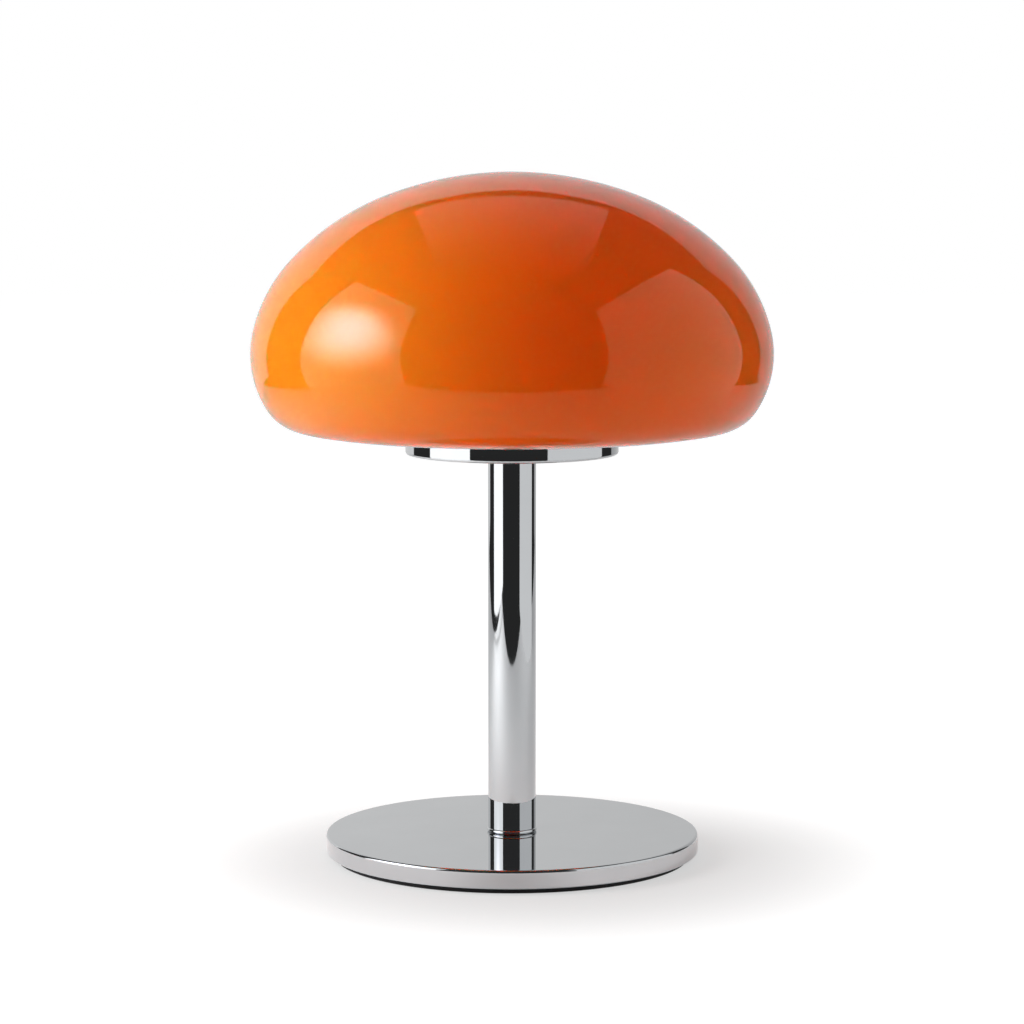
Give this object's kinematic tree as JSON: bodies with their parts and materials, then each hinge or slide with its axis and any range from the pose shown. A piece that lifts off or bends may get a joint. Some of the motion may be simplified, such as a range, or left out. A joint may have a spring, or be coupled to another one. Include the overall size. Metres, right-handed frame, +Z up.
{
  "type": "mushroom table lamp",
  "caption": "Table lamp with a broad domed glass shade on a shallow metal cup, a thin tubular stem and a round weighted base; the shade lifts off and the bulb unscrews.",
  "frame": {"origin": "centre of the foot pad's underside, on the surface that the lamp stands on", "axes": "+Z up along the stem, +Y to the rear, where the cord inlet is, +X to the right seen from the front"},
  "size_m": [0.2702, 0.2702, 0.3569],
  "materials": {
    "pad_foam": "matt closed-cell foam",
    "weight_steel": "as-rolled steel plate, lightly oiled",
    "chrome": "mirror-polished chrome plate",
    "plated_steel": "bright zinc plate",
    "bush_plastic": "fine matt",
    "brass": "turned, plain",
    "silicone": "translucent white silicone, matt",
    "orange_glass": "gloss cased glass, orange over white",
    "holder_plastic": "satin thermoset",
    "contact_ceramic": "unglazed ceramic",
    "solder": "dull solder",
    "cap_metal": "bright nickel-coloured sheet",
    "cap_insulation": "black vitrified insulation",
    "clear_glass": "clear, gloss",
    "filament": "phosphor coat, matt",
    "filament_wire": "drawn wire",
    "circuit_board": "solder mask",
    "brown_insulation": "extruded, satin",
    "blue_insulation": "extruded, satin",
    "splice_insulation": "moulded sleeve, satin"
  },
  "bodies": {
    "lamp": {"foot_pad": "pad_foam", "base_weight": "weight_steel", "base_cover": "chrome", "stem_foot": "chrome", "stem_tube": "chrome", "gallery": "chrome", "base_screw": "plated_steel", "stem_head": "plated_steel", "gallery_washer": "plated_steel", "gallery_nut": "plated_steel", "shade_clips": "plated_steel", "terminal_screws": "plated_steel", "cord_bush": "bush_plastic", "nipple": "brass", "terminal_blocks": "brass", "screw_shell": "brass", "centre_contact": "brass", "shade_gasket": "silicone", "holder_cap": "holder_plastic", "holder_shell": "holder_plastic", "contact_block": "contact_ceramic", "live_lead": "brown_insulation", "neutral_lead": "blue_insulation", "lead_splices": "splice_insulation"},
    "shade": {"glass_shade": "orange_glass"},
    "bulb_contact": {"bulb_tip": "solder"},
    "bulb": {"bulb_insulator": "cap_insulation", "bulb_cap": "cap_metal", "bulb_glass": "clear_glass", "bulb_mount": "clear_glass", "filaments": "filament", "filament_wires": "filament_wire", "driver_board": "circuit_board"}
  },
  "joints": [
    {"name": "shade_lift", "type": "slide", "parent": "lamp", "child": "shade", "axis": [0, 0, 1], "range_m": [0, 0.14]},
    {"name": "bulb_rise", "type": "slide", "parent": "lamp", "child": "bulb_contact", "axis": [0, 0, 1], "range_m": [0, 0.0218]},
    {"name": "bulb_turn", "type": "hinge", "parent": "bulb_contact", "child": "bulb", "pos_m": [0, 0, 0.25], "axis": [0, 0, 1], "range_deg": [0, 2160]}
  ],
  "couplings": [
    {"joint": "bulb_rise", "follows": "bulb_turn", "m_per_rad": 0.00057757}
  ]
}
